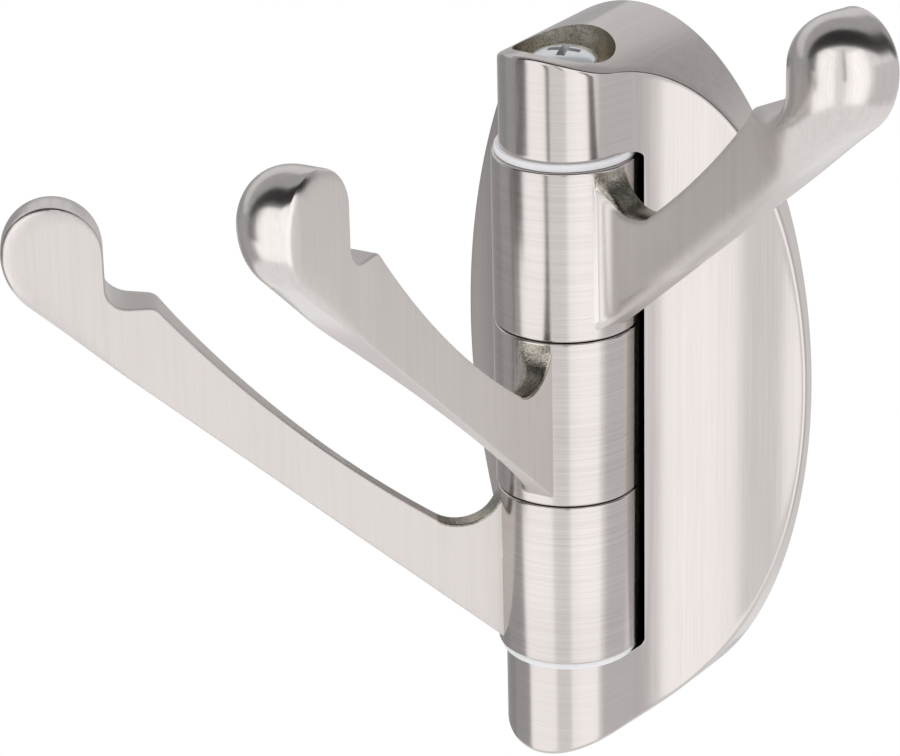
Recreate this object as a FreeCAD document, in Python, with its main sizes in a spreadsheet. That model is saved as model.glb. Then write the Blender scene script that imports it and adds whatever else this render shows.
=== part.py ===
import FreeCAD, Part
import math
import os
import Sketcher

V = FreeCAD.Vector
doc = FreeCAD.newDocument("folding_wall_hook")

# Driving sizes in millimetres and degrees
sizes = doc.addObject("Spreadsheet::Sheet", "sizes")
sizeList = [
    ("plate_width", 48.0), ("plate_height", 89.0), ("rim_thickness", 1.5),
    ("pivot_offset", 16.0), ("nose_radius", 8.0), ("flank_radius", 24.0),
    ("slot_width", 19.1), ("slot_floor", 6.2), ("crest_rounding", 0.5),
    ("barrel_radius", 8.1), ("barrel_height", 20.8), ("barrel_chamfer", 0.3),
    ("washer_radius", 8.4), ("washer_thickness", 0.7), ("end_play", 0.15),
    ("screw_radius", 2.0), ("running_clearance", 0.08), ("thread_engagement", 7.4),
    ("head_radius", 4.0), ("head_height", 3.0), ("head_crown", 1.3),
    ("recess_length", 4.4), ("recess_width", 1.0), ("recess_depth", 1.7),
    ("counterbore_radius", 6.2), ("counterbore_depth", 4.1), ("tap_runout", 2.6),
    ("wall_hole_radius", 2.25), ("wall_hole_spread", 36.0), ("countersink_radius", 4.4),
    ("blade_root_thickness", 4.4), ("blade_tip_thickness", 6.2), ("blade_angle", 40.5),
    ("blade_foot", 7.0), ("blade_rounding", 0.8), ("crown_radius", 150.0),
    ("notch_radius", 5.0), ("notch_offset", 12.5), ("notch_level", 22.0),
    ("knob_radius", 5.85), ("heel_radius", 8.6), ("seat_drop", 7.0),
    ("saddle_radius", 2.6), ("seat_length", 4.9), ("lip_radius", 1.6),
    ("hollow_radius", 125.0), ("head_length", 13.3), ("shoulder_rounding", 8.0),
    ("long_reach", 65.3), ("short_reach", 53.0),
    ("swing_upper", 71.5), ("swing_middle", 6.0), ("swing_lower", -50.0),
]
for row, (alias, value) in enumerate(sizeList, start=1):
    sizes.set("A%d" % row, alias)
    sizes.set("B%d" % row, str(value))
    sizes.setAlias("B%d" % row, alias)
doc.recompute()


def size(alias):
    return float(getattr(sizes, alias))


def cell(text):
    # every name in the expression that is an alias is read from the sheet
    words = []
    for word in text.split():
        words.append("sizes." + word if word in dict(sizeList) else word)
    return " ".join(words)


stackHeight = "( 3 * barrel_height + 2 * washer_thickness + 4 * end_play )"
barrelPitch = "( barrel_height + end_play )"
earFloor = "( ( plate_height - " + stackHeight + " ) / 2 - counterbore_depth )"
shankLength = "( " + earFloor + " + " + stackHeight + " + thread_engagement )"


def number(text):
    # the value an expression has now, for first guesses of sketch geometry
    box = doc.addObject("App::FeaturePython", "guess")
    box.addProperty("App::PropertyFloat", "Value")
    box.setExpression("Value", cell(text))
    doc.recompute()
    value = box.Value
    doc.removeObject(box.Name)
    return value


def bind(item, prop, text):
    item.setExpression(prop, cell(text))


def newBody(label):
    body = doc.addObject("PartDesign::Body", label)
    body.Label = label
    return body


def newSketch(body, plane, name):
    sketch = body.newObject("Sketcher::SketchObject", name)
    support = [f for f in body.Origin.OriginFeatures if f.Role == plane][0]
    sketch.AttachmentSupport = [(support, "")]
    sketch.MapMode = "FlatFace"
    return sketch


def rule(sketch, kind, *refs):
    return sketch.addConstraint(Sketcher.Constraint(kind, *refs))


def measure(sketch, kind, refs, text, unit="mm"):
    value = number(text)
    if unit == "deg":
        value = math.radians(value)
    index = sketch.addConstraint(Sketcher.Constraint(kind, *refs, value))
    sketch.setExpression("Constraints[%d]" % index, "(" + cell(text) + ") * 1 " + unit)
    return index


def addArc(sketch, x, y, radius, startDeg, endDeg):
    circle = Part.Circle(V(x, y, 0), V(0, 0, 1), radius)
    return sketch.addGeometry(Part.ArcOfCircle(circle, math.radians(startDeg), math.radians(endDeg)))


def addLine(sketch, x0, y0, x1, y1):
    return sketch.addGeometry(Part.LineSegment(V(x0, y0, 0), V(x1, y1, 0)))


def addCircle(sketch, text):
    index = sketch.addGeometry(Part.Circle(V(0, 0, 0), V(0, 0, 1), number(text)))
    rule(sketch, "Coincident", index, 3, -1, 1)
    measure(sketch, "Radius", [index], text)
    return index


def pad(body, sketch, text, symmetric=False, name="pad"):
    feature = body.newObject("PartDesign::Pad", name)
    feature.Profile = sketch
    if symmetric:
        feature.SideType = "Symmetric"
    feature.setExpression("Length", cell(text))
    doc.recompute()
    return feature


def pocketThrough(body, sketch, name):
    feature = body.newObject("PartDesign::Pocket", name)
    feature.Profile = sketch
    feature.SideType = "Symmetric"
    feature.Type = "ThroughAll"
    doc.recompute()
    return feature


def place(item, x="0", y="0", z="0", turn=None):
    bind(item, "Placement.Base.x", x)
    bind(item, "Placement.Base.y", y)
    bind(item, "Placement.Base.z", z)
    if turn:
        item.Placement = FreeCAD.Placement(item.Placement.Base, FreeCAD.Rotation(V(0, 0, 1), number(turn)))
        bind(item, "Placement.Rotation.Angle", turn)


# Wall plate: bell-shaped plan profile, trimmed to an ellipse in front view
def buildWallPlate():
    width, rim, back = size("plate_width") / 2, size("rim_thickness"), size("pivot_offset")
    nose, flank = size("nose_radius"), size("flank_radius")

    # centre of the hollow flank: one flank radius from the rim, tangent to the nose
    span = math.hypot(width, back - rim)
    reach = nose + flank
    along = (reach**2 - flank**2 + span**2) / (2 * span)
    aside = math.sqrt(reach**2 - along**2)
    ux, uy = width / span, (back - rim) / span
    cx, cy = along * ux + aside * uy, -back + along * uy - aside * ux
    rimAngle = math.degrees(math.atan2(-rim - cy, width - cx))
    noseAngle = math.degrees(math.atan2(-back - cy, -cx))

    body = newBody("plate_profile")
    plan = newSketch(body, "XY_Plane", "plan_profile")
    wall = addLine(plan, -width, 0, width, 0)
    rimRight = addLine(plan, width, 0, width, -rim)
    flankRight = addArc(plan, cx, cy, flank, rimAngle, noseAngle)
    front = addArc(plan, 0, -back, nose, 360 - noseAngle, noseAngle + 180)
    flankLeft = addArc(plan, -cx, cy, flank, 180 - noseAngle, 180 - rimAngle)
    rimLeft = addLine(plan, -width, -rim, -width, 0)
    rule(plan, "Symmetric", wall, 1, wall, 2, -2)
    rule(plan, "PointOnObject", wall, 1, -1)
    rule(plan, "Coincident", wall, 2, rimRight, 1)
    rule(plan, "Coincident", rimRight, 2, flankRight, 1)
    rule(plan, "Coincident", flankLeft, 2, rimLeft, 1)
    rule(plan, "Coincident", rimLeft, 2, wall, 1)
    rule(plan, "Vertical", rimRight)
    rule(plan, "Vertical", rimLeft)
    rule(plan, "Equal", rimRight, rimLeft)
    rule(plan, "Equal", flankRight, flankLeft)
    rule(plan, "PointOnObject", front, 3, -2)
    rule(plan, "Tangent", flankRight, 2, front, 2)
    rule(plan, "Tangent", front, 1, flankLeft, 1)
    measure(plan, "DistanceX", [wall, 1, wall, 2], "plate_width")
    measure(plan, "DistanceY", [rimRight, 2, rimRight, 1], "rim_thickness")
    measure(plan, "DistanceY", [front, 3, -1, 1], "pivot_offset")
    measure(plan, "Radius", [front], "nose_radius")
    measure(plan, "Radius", [flankRight], "flank_radius")
    pad(body, plan, "plate_height", True, "plate_pad")

    ellipse = doc.addObject("Part::Ellipse", "plate_ellipse")
    bind(ellipse, "MajorRadius", "plate_height / 2")
    bind(ellipse, "MinorRadius", "plate_width / 2")
    ellipse.Placement = FreeCAD.Placement(V(0, 0, 0), FreeCAD.Rotation(V(0, 0, 1), V(1, 0, 0), V(0, -1, 0)))
    outline = doc.addObject("Part::Extrusion", "plate_outline")
    outline.Base = ellipse
    outline.DirMode = "Custom"
    outline.Dir = V(0, -1, 0)
    outline.Solid = True
    bind(outline, "LengthFwd", "pivot_offset + 2 * nose_radius")
    blank = doc.addObject("Part::Common", "plate_blank")
    blank.Base, blank.Tool = body, outline
    doc.recompute()

    # soft edge all round the front, left sharp at the wall
    crest = doc.addObject("Part::Fillet", "plate_crest")
    crest.Base = blank
    rounding = size("crest_rounding")
    edges = []
    for index, edge in enumerate(blank.Shape.Edges, start=1):
        middle = edge.valueAt((edge.FirstParameter + edge.LastParameter) / 2)
        if middle.y < -rim / 50 and not isinstance(edge.Curve, Part.Line):
            edges.append((index, rounding, rounding))
    crest.Edges = edges

    slot = doc.addObject("Part::Box", "barrel_slot")
    bind(slot, "Length", "slot_width")
    bind(slot, "Width", "pivot_offset + 2 * nose_radius")
    bind(slot, "Height", stackHeight)
    slotFront = "- pivot_offset - 2 * nose_radius - slot_floor"
    place(slot, "- slot_width / 2", slotFront, "- " + stackHeight + " / 2")

    counterbore = doc.addObject("Part::Cylinder", "counterbore")
    bind(counterbore, "Radius", "counterbore_radius")
    bind(counterbore, "Height", "plate_height / 2")
    place(counterbore, "0", "- pivot_offset", "plate_height / 2 - counterbore_depth")

    pivotHole = doc.addObject("Part::Cylinder", "pivot_hole")
    bind(pivotHole, "Radius", "screw_radius + running_clearance")
    bind(pivotHole, "Height", shankLength + " + tap_runout")
    place(pivotHole, "0", "- pivot_offset", "- " + stackHeight + " / 2 - thread_engagement - tap_runout")

    cutters = [slot, counterbore, pivotHole]
    for side, sign in (("upper", ""), ("lower", "- ")):
        turned = FreeCAD.Rotation(V(1, 0, 0), 90)
        bolt = doc.addObject("Part::Cylinder", "wall_hole_" + side)
        bind(bolt, "Radius", "wall_hole_radius")
        bind(bolt, "Height", "slot_floor + 2")
        bolt.Placement = FreeCAD.Placement(V(0, 1, 0), turned)
        bind(bolt, "Placement.Base.z", sign + "wall_hole_spread / 2")
        sink = doc.addObject("Part::Cone", "countersink_" + side)
        bind(sink, "Radius1", "wall_hole_radius")
        bind(sink, "Radius2", "countersink_radius")
        bind(sink, "Height", "countersink_radius - wall_hole_radius")
        sink.Placement = FreeCAD.Placement(V(0, 0, 0), turned)
        bind(sink, "Placement.Base.y", "- slot_floor + countersink_radius - wall_hole_radius")
        bind(sink, "Placement.Base.z", sign + "wall_hole_spread / 2")
        cutters += [bolt, sink]
    tools = doc.addObject("Part::MultiFuse", "plate_cutters")
    tools.Shapes = cutters
    plate = doc.addObject("Part::Cut", "wall_plate")
    plate.Label = "wall_plate"
    plate.Base, plate.Tool = crest, tools
    doc.recompute()
    return plate


# Hook arm: side profile of the blade, thinned towards the root, on a bored barrel
def buildArm(label, reachName, swingName, level):
    body = newBody(label)
    angle = size("blade_angle")
    slope = math.tan(math.radians(angle))
    reach, knob, heel = size(reachName), size("knob_radius"), size("heel_radius")
    centreX, heelX = reach - knob, reach - heel
    centreZ = (reach - size("blade_foot")) * slope + heel * math.tan(math.radians((90 - angle) / 2))
    inner, seat = reach - 2 * knob, centreZ - size("seat_drop")
    saddle, lip, crown = size("saddle_radius"), size("lip_radius"), size("crown_radius")
    notch, notchX, notchZ = size("notch_radius"), size("notch_offset"), size("notch_level")
    top = size("barrel_height")
    lipX, lipZ = inner - size("seat_length"), seat - lip

    # crown arc: touches the lip from outside and the notch from inside
    gap = math.hypot(lipX - notchX, lipZ - notchZ)
    farNotch, farLip = crown - notch, crown + lip
    along = (farNotch**2 - farLip**2 + gap**2) / (2 * gap)
    aside = math.sqrt(farNotch**2 - along**2)
    ux, uz = (lipX - notchX) / gap, (lipZ - notchZ) / gap
    crownX, crownZ = notchX + along * ux - aside * uz, notchZ + along * uz + aside * ux
    notchTurn = math.degrees(math.atan2(notchZ - crownZ, notchX - crownX))
    lipTurn = math.degrees(math.atan2(lipZ - crownZ, lipX - crownX))
    heelTurn = math.radians(angle - 90)
    footX = size("blade_foot")
    heelStart = heelX + heel * math.cos(heelTurn), centreZ + heel * math.sin(heelTurn)
    notchTop = notchX - math.sqrt(notch**2 - (top - notchZ) ** 2)
    notchStart = math.degrees(math.atan2(top - notchZ, notchTop - notchX)) % 360

    side = newSketch(body, "XZ_Plane", label + "_profile")
    floor = addLine(side, 0, 0, footX, 0)
    under = addLine(side, footX, 0, heelStart[0], heelStart[1])
    heelArc = addArc(side, heelX, centreZ, heel, angle - 90, 0)
    dome = addArc(side, centreX, centreZ, knob, 0, 180)
    innerLine = addLine(side, inner, centreZ, inner, seat + saddle)
    saddleArc = addArc(side, inner - saddle, seat + saddle, saddle, 270, 360)
    seatLine = addLine(side, inner - saddle, seat, lipX, seat)
    lipArc = addArc(side, lipX, lipZ, lip, 90, lipTurn + 180)
    crownArc = addArc(side, crownX, crownZ, crown, notchTurn, lipTurn)
    notchArc = addArc(side, notchX, notchZ, notch, notchStart, notchTurn + 360)
    lid = addLine(side, notchTop, top, 0, top)
    spine = addLine(side, 0, top, 0, 0)
    rule(side, "Coincident", floor, 1, -1, 1)
    rule(side, "Coincident", floor, 2, under, 1)
    rule(side, "Horizontal", floor)
    rule(side, "Tangent", under, 2, heelArc, 1)
    rule(side, "Tangent", heelArc, 2, dome, 1)
    rule(side, "Horizontal", dome, 3, dome, 1)
    rule(side, "Tangent", dome, 2, innerLine, 1)
    rule(side, "Vertical", innerLine)
    rule(side, "Tangent", innerLine, 2, saddleArc, 2)
    rule(side, "Tangent", saddleArc, 1, seatLine, 1)
    rule(side, "Horizontal", seatLine)
    rule(side, "Tangent", seatLine, 2, lipArc, 1)
    rule(side, "Tangent", lipArc, 2, crownArc, 2)
    rule(side, "Tangent", crownArc, 1, notchArc, 2)
    rule(side, "Coincident", notchArc, 1, lid, 1)
    rule(side, "Horizontal", lid)
    rule(side, "Coincident", lid, 2, spine, 1)
    rule(side, "Coincident", spine, 2, floor, 1)
    rule(side, "Vertical", spine)
    measure(side, "DistanceX", [-1, 1, under, 1], "blade_foot")
    measure(side, "Angle", [under], "blade_angle", "deg")
    measure(side, "Radius", [heelArc], "heel_radius")
    measure(side, "Radius", [dome], "knob_radius")
    measure(side, "DistanceX", [-1, 1, dome, 1], reachName)
    measure(side, "DistanceY", [seatLine, 1, dome, 3], "seat_drop")
    measure(side, "Radius", [saddleArc], "saddle_radius")
    measure(side, "Radius", [lipArc], "lip_radius")
    measure(side, "DistanceX", [lipArc, 3, innerLine, 1], "seat_length")
    measure(side, "Radius", [crownArc], "crown_radius")
    measure(side, "Radius", [notchArc], "notch_radius")
    measure(side, "DistanceX", [-1, 1, notchArc, 3], "notch_offset")
    measure(side, "DistanceY", [-1, 1, notchArc, 3], "notch_level")
    measure(side, "DistanceY", [-1, 1, spine, 1], "barrel_height")
    pad(body, side, "blade_tip_thickness", True, "blade")

    # right face flat, left face hollowed between barrel and head
    wedge = newSketch(body, "XY_Plane", label + "_wedge")
    shoulderX = reach - size("head_length")
    for sign in (1, -1):
        root, tip = sign * size("blade_root_thickness") / 2, sign * size("blade_tip_thickness") / 2
        beyond = tip + sign
        if sign > 0:
            first = last = addLine(wedge, 0, root, reach, tip)
            begin = 1
        else:
            hollow = size("hollow_radius")
            chord = math.hypot(shoulderX, tip - root)
            depth = math.sqrt(hollow**2 - chord**2 / 4)
            midX = shoulderX / 2 + depth * (tip - root) / chord
            midY = (root + tip) / 2 - depth * shoulderX / chord
            rootTurn = math.degrees(math.atan2(root - midY, -midX))
            tipTurn = math.degrees(math.atan2(tip - midY, shoulderX - midX))
            first = addArc(wedge, midX, midY, hollow, tipTurn, rootTurn)
            last = addLine(wedge, shoulderX, tip, reach, tip)
            begin = 2
            rule(wedge, "Coincident", first, 1, last, 1)
            rule(wedge, "Horizontal", last)
            measure(wedge, "Radius", [first], "hollow_radius")
            measure(wedge, "DistanceX", [last, 1, last, 2], "head_length")
        end = addLine(wedge, reach, tip, reach, beyond)
        outer = addLine(wedge, reach, beyond, 0, beyond)
        start = addLine(wedge, 0, beyond, 0, root)
        rule(wedge, "Coincident", last, 2, end, 1)
        rule(wedge, "Coincident", end, 2, outer, 1)
        rule(wedge, "Coincident", outer, 2, start, 1)
        rule(wedge, "Coincident", start, 2, first, begin)
        rule(wedge, "Vertical", end)
        rule(wedge, "Vertical", start)
        rule(wedge, "Horizontal", outer)
        rule(wedge, "PointOnObject", first, begin, -2)
        measure(wedge, "DistanceX", [first, begin, last, 2], reachName)
        pairs = ((first, begin, "blade_root_thickness / 2"), (last, 2, "blade_tip_thickness / 2"))
        for line, point, text in pairs:
            refs = [-1, 1, line, point] if sign > 0 else [line, point, -1, 1]
            measure(wedge, "DistanceY", refs, text)
        refs = [end, 1, end, 2] if sign > 0 else [end, 2, end, 1]
        measure(wedge, "DistanceY", refs, "1")
    taper = pocketThrough(body, wedge, "blade_taper")
    ridges = []
    for index, edge in enumerate(taper.Shape.Edges, start=1):
        box = edge.BoundBox
        if box.XLength < 0.01 and box.YLength < 0.01 and abs(box.XMin - shoulderX) < 0.01:
            ridges.append("Edge%d" % index)
    shoulder = body.newObject("PartDesign::Fillet", "blade_shoulder")
    shoulder.Base = (taper, ridges)
    bind(shoulder, "Radius", "shoulder_rounding")
    doc.recompute()

    # rounded outline on both faces
    soft = body.newObject("PartDesign::Fillet", "blade_edges")
    names = []
    tiny = size("blade_rounding") / 50
    for index, edge in enumerate(shoulder.Shape.Edges, start=1):
        first, last = edge.Vertexes[0].Point, edge.Vertexes[-1].Point
        upright = abs(first.x - last.x) < tiny
        across = upright and abs(first.z - last.z) < tiny
        ridge = upright and abs(first.x - inner) > tiny
        rooted = max(first.x, last.x) < notchTop + tiny or max(first.z, last.z) < tiny
        if not (across or ridge or rooted):
            names.append("Edge%d" % index)
    soft.Base = (shoulder, names)
    bind(soft, "Radius", "blade_rounding")
    doc.recompute()

    ring = newSketch(body, "XY_Plane", label + "_ring")
    addCircle(ring, "barrel_radius")
    barrel = pad(body, ring, "barrel_height", False, "barrel")
    rims = []
    for index, edge in enumerate(barrel.Shape.Edges, start=1):
        if isinstance(edge.Curve, Part.Circle) and abs(edge.Curve.Radius - size("barrel_radius")) < 0.01:
            if abs(edge.BoundBox.ZMax) < 0.01:
                rims.append("Edge%d" % index)
    bevel = body.newObject("PartDesign::Chamfer", "barrel_edge")
    bevel.Base = (barrel, rims)
    bind(bevel, "Size", "barrel_chamfer")
    doc.recompute()

    bore = newSketch(body, "XY_Plane", label + "_bore")
    addCircle(bore, "screw_radius + running_clearance")
    pocketThrough(body, bore, "pivot_bore")
    place(body, "0", "- pivot_offset", level, swingName + " - 90")
    doc.recompute()
    return body


def buildWasher(label, level):
    body = newBody(label)
    ring = newSketch(body, "XY_Plane", label + "_ring")
    addCircle(ring, "washer_radius")
    addCircle(ring, "screw_radius + running_clearance")
    pad(body, ring, "washer_thickness", False, label + "_pad")
    place(body, "0", "- pivot_offset", level)
    doc.recompute()
    return body


# Pivot screw: low crowned head with a cross recess, drawn from the top of the head down
def buildScrew(label):
    body = newBody(label)
    head, shank = size("head_radius"), size("screw_radius")
    crown, under = size("head_crown"), size("head_height")
    end = under + number(shankLength)
    domeRadius = (head**2 + crown**2) / (2 * crown)
    half = newSketch(body, "XZ_Plane", "screw_profile")
    startDeg = math.degrees(math.atan2(domeRadius - crown, head))
    dome = addArc(half, 0, -domeRadius, domeRadius, startDeg, 90)
    rim = addLine(half, head, -crown, head, -under)
    seat = addLine(half, head, -under, shank, -under)
    stem = addLine(half, shank, -under, shank, -end)
    tip = addLine(half, shank, -end, 0, -end)
    axis = addLine(half, 0, -end, 0, 0)
    rule(half, "Coincident", dome, 2, -1, 1)
    rule(half, "PointOnObject", dome, 3, -2)
    for first, second in ((rim, seat), (seat, stem), (stem, tip), (tip, axis)):
        rule(half, "Coincident", first, 2, second, 1)
    rule(half, "Coincident", dome, 1, rim, 1)
    rule(half, "Coincident", axis, 2, -1, 1)
    rule(half, "Vertical", rim)
    rule(half, "Vertical", stem)
    rule(half, "Vertical", axis)
    rule(half, "Horizontal", seat)
    rule(half, "Horizontal", tip)
    measure(half, "DistanceX", [-1, 1, rim, 1], "head_radius")
    measure(half, "DistanceY", [rim, 1, -1, 1], "head_crown")
    measure(half, "DistanceY", [seat, 1, -1, 1], "head_height")
    measure(half, "DistanceX", [-1, 1, stem, 1], "screw_radius")
    measure(half, "DistanceY", [stem, 2, stem, 1], shankLength)
    turned = body.newObject("PartDesign::Revolution", "screw_turned")
    turned.Profile = half
    turned.ReferenceAxis = (half, ["V_Axis"])
    turned.Angle = 360
    doc.recompute()

    cross = newSketch(body, "XY_Plane", "cross_recess")
    a, b = size("recess_length") / 2, size("recess_width") / 2
    quarter = [(a, -b), (a, b), (b, b)]
    corners = []
    for turn in range(4):
        corners += quarter
        quarter = [(-y, x) for x, y in quarter]
    lines = [addLine(cross, *corners[i], *corners[(i + 1) % 12]) for i in range(12)]
    for i in range(12):
        rule(cross, "Coincident", lines[i], 2, lines[(i + 1) % 12], 1)
        rule(cross, "Vertical" if i % 2 == 0 else "Horizontal", lines[i])
    for i, line in enumerate(lines):
        kind, offset = ("DistanceX", corners[i][0]) if i % 2 == 0 else ("DistanceY", corners[i][1])
        refs = [-1, 1, line, 1] if offset > 0 else [line, 1, -1, 1]
        text = "recess_length / 2" if abs(offset) > (a + b) / 2 else "recess_width / 2"
        measure(cross, kind, refs, text)
    recess = body.newObject("PartDesign::Pocket", "recess")
    recess.Profile = cross
    bind(recess, "Length", "recess_depth")
    place(body, "0", "- pivot_offset", "plate_height / 2 - counterbore_depth + head_height")
    doc.recompute()
    return body


lowLevel = "- " + stackHeight + " / 2 + washer_thickness + end_play"
nodes = [
    buildWallPlate(),
    buildArm("hook_arm_upper", "short_reach", "swing_upper", lowLevel + " + 2 * " + barrelPitch),
    buildArm("hook_arm_middle", "long_reach", "swing_middle", lowLevel + " + " + barrelPitch),
    buildArm("hook_arm_lower", "long_reach", "swing_lower", lowLevel),
    buildWasher("washer_upper", stackHeight + " / 2 - washer_thickness"),
    buildWasher("washer_lower", "- " + stackHeight + " / 2"),
    buildScrew("pivot_screw"),
]
doc.recompute()

for item in doc.Objects:
    if "Invalid" in item.State or "Error" in item.State:
        raise RuntimeError("%s is not valid: %s" % (item.Label, item.State))
os.makedirs("parts", exist_ok=True)
for node in nodes:
    shape = node.Shape
    if shape.isNull() or not shape.isValid() or len(shape.Solids) != 1:
        raise RuntimeError("%s has no valid single solid" % node.Label)
    shape.exportStep(os.path.join("parts", node.Label + ".step"))
    box = shape.BoundBox
    print("%-16s %9.1f mm3  x %.1f..%.1f  y %.1f..%.1f  z %.1f..%.1f" % (
        node.Label, shape.Volume, box.XMin, box.XMax, box.YMin, box.YMax, box.ZMin, box.ZMax))
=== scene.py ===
import math
import bmesh
import bpy
import numpy
from mathutils import Matrix, Vector


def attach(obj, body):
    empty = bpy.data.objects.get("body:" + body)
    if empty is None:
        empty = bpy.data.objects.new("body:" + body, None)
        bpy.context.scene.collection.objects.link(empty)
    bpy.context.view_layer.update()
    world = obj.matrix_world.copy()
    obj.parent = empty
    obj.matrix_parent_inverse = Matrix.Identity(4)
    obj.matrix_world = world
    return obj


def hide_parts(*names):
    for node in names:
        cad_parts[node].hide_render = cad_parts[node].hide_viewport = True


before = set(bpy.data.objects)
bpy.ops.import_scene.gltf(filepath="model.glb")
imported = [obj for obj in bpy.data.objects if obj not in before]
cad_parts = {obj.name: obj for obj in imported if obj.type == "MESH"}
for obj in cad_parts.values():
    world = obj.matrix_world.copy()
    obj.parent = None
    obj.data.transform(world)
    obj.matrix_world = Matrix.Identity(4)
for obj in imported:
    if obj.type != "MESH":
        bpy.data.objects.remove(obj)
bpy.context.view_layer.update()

mm = 0.001  # sizes below are in millimetres
pivotY = -16.0
weldGap, sliver = 2e-6, 1e-7  # in metres
print("frame loaded:", ", ".join(sorted(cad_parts)))


def meshObject(name, verts, faces):
    mesh = bpy.data.meshes.new(name)
    mesh.from_pydata([Vector(v) * mm for v in verts], [], faces)
    obj = bpy.data.objects.new(name, mesh)
    bpy.context.scene.collection.objects.link(obj)
    return obj


def closeMesh(obj):
    bm = bmesh.new()
    bm.from_mesh(obj.data)
    bmesh.ops.remove_doubles(bm, verts=bm.verts, dist=weldGap)
    bmesh.ops.dissolve_degenerate(bm, edges=bm.edges, dist=sliver)
    bmesh.ops.recalc_face_normals(bm, faces=bm.faces)
    bm.to_mesh(obj.data)
    bm.free()


def smoothFaces(obj, creaseAngle=28):
    obj.data.shade_smooth()
    obj.data.set_sharp_from_angle(angle=math.radians(creaseAngle))


def combine(obj, tool, how):
    step = obj.modifiers.new("join", "BOOLEAN")
    step.operation = how
    step.solver = "EXACT"
    step.object = tool
    graph = bpy.context.evaluated_depsgraph_get()
    result = bpy.data.meshes.new_from_object(obj.evaluated_get(graph))
    obj.modifiers.clear()
    obj.data = result
    obj.data.name = obj.name
    bpy.data.objects.remove(tool)


def bandFaces(rows, count):
    # joins each closed row of points to the next
    faces = []
    for here in range(0, (rows - 1) * count, count):
        there = here + count
        for k in range(count):
            n = (k + 1) % count
            faces.append((here + k, here + n, there + n, there + k))
    return faces


def turned(name, profile, segments, place):
    # profile runs from axis to axis as (radius, height)
    verts = []
    for radius, height in profile:
        for k in range(segments):
            turn = 2 * math.pi * k / segments
            verts.append(place @ Vector((radius * math.cos(turn), radius * math.sin(turn), height)))
    obj = meshObject(name, verts, bandFaces(len(profile), segments))
    closeMesh(obj)
    return obj


def tagFaces(obj, materials, choose):
    obj.data.materials.clear()
    for material in materials:
        obj.data.materials.append(material)
    for face in obj.data.polygons:
        face.material_index = choose(face.center / mm, face.normal)


class Shade:
    # a socket that can be used in plain expressions
    def __init__(self, tree, socket):
        self.tree, self.socket = tree, socket

    def maths(self, operation, first, second):
        node = self.tree.nodes.new("ShaderNodeMath")
        node.operation = operation
        for slot, value in zip(node.inputs, (first, second)):
            if isinstance(value, Shade):
                self.tree.links.new(value.socket, slot)
            else:
                slot.default_value = value
        return Shade(self.tree, node.outputs[0])

    def __add__(self, other): return self.maths("ADD", self, other)
    def __radd__(self, other): return self.maths("ADD", other, self)
    def __sub__(self, other): return self.maths("SUBTRACT", self, other)
    def __rsub__(self, other): return self.maths("SUBTRACT", other, self)
    def __mul__(self, other): return self.maths("MULTIPLY", self, other)
    def __rmul__(self, other): return self.maths("MULTIPLY", other, self)
    def __gt__(self, other): return self.maths("GREATER_THAN", self, other)
    def __lt__(self, other): return self.maths("LESS_THAN", self, other)
    def __abs__(self): return self.maths("ABSOLUTE", self, 0.0)


class Finish:
    def __init__(self, name):
        self.material = bpy.data.materials.new(name)
        self.material.use_nodes = True
        self.tree = self.material.node_tree
        self.surface = self.tree.nodes["Principled BSDF"]
        self.place = self.node("ShaderNodeTexCoord", {}, {}, "Object")

    def node(self, kind, settings, sockets, out=0):
        made = self.tree.nodes.new(kind)
        for key, value in settings.items():
            setattr(made, key, value)
        for key, value in sockets.items():
            if isinstance(value, Shade):
                self.tree.links.new(value.socket, made.inputs[key])
            else:
                made.inputs[key].default_value = value
        return Shade(self.tree, made.outputs[out])

    def noise(self, scale, detail, rough=0.5):
        stretched = self.node("ShaderNodeMapping", {}, {"Vector": self.place, "Scale": scale})
        return self.node("ShaderNodeTexNoise", {}, {
            "Vector": stretched, "Scale": 1.0, "Detail": detail, "Roughness": rough})

    def tint(self, amount, dark, light, shade=1.0):
        dark, light = ((*(part * shade for part in colour), 1) for colour in (dark, light))
        return self.node("ShaderNodeMix", {"data_type": "RGBA"}, {0: amount, 6: dark, 7: light}, 2)

    def bump(self, strength, distance, height):
        return self.node("ShaderNodeBump", {}, {
            "Strength": strength, "Distance": distance, "Height": height})

    def feed(self, **sockets):
        for key, value in sockets.items():
            slot = self.surface.inputs[key.replace("_", " ")]
            if isinstance(value, Shade):
                self.tree.links.new(value.socket, slot)
            else:
                slot.default_value = value


nickel = {
    "dark": (0.49, 0.452, 0.438), "light": (0.69, 0.65, 0.634), "cloudScale": 70, "cloudShare": 0.2,
    "lineLength": 14.0, "roundWidth": 0.11, "lineDepth": 0.00002, "fineShare": 0.6, "broadScale": 0.2,
    # lines run "tall", up and down, or "round" the pivot
    "plate": {"lines": "tall", "lineWidth": 0.24, "contrast": 0.9, "lift": 0.0, "roughness": 0.17,
              "spread": 0.14, "anisotropy": 0.0, "bump": 0.12},
    "blade": {"lines": "tall", "lineWidth": 0.18, "contrast": 1.3, "lift": 0.4, "roughness": 0.54,
              "spread": 0.2, "anisotropy": 0.4, "bump": 0.2},
    "barrel": {"lines": "round", "contrast": 1.6, "lift": 0.0, "roughness": 0.18,
               "spread": 0.16, "anisotropy": 0.0, "bump": 0.16},
    # places on the plate in metres, as the shader reads them
    "earLevel": 0.0325, "earHalf": 0.0083, "dullStart": -0.014, "dullEnd": -0.022, "dullRoughness": 0.36,
    "ballRoughness": 0.21, "ballSpread": 0.06,
}


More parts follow.
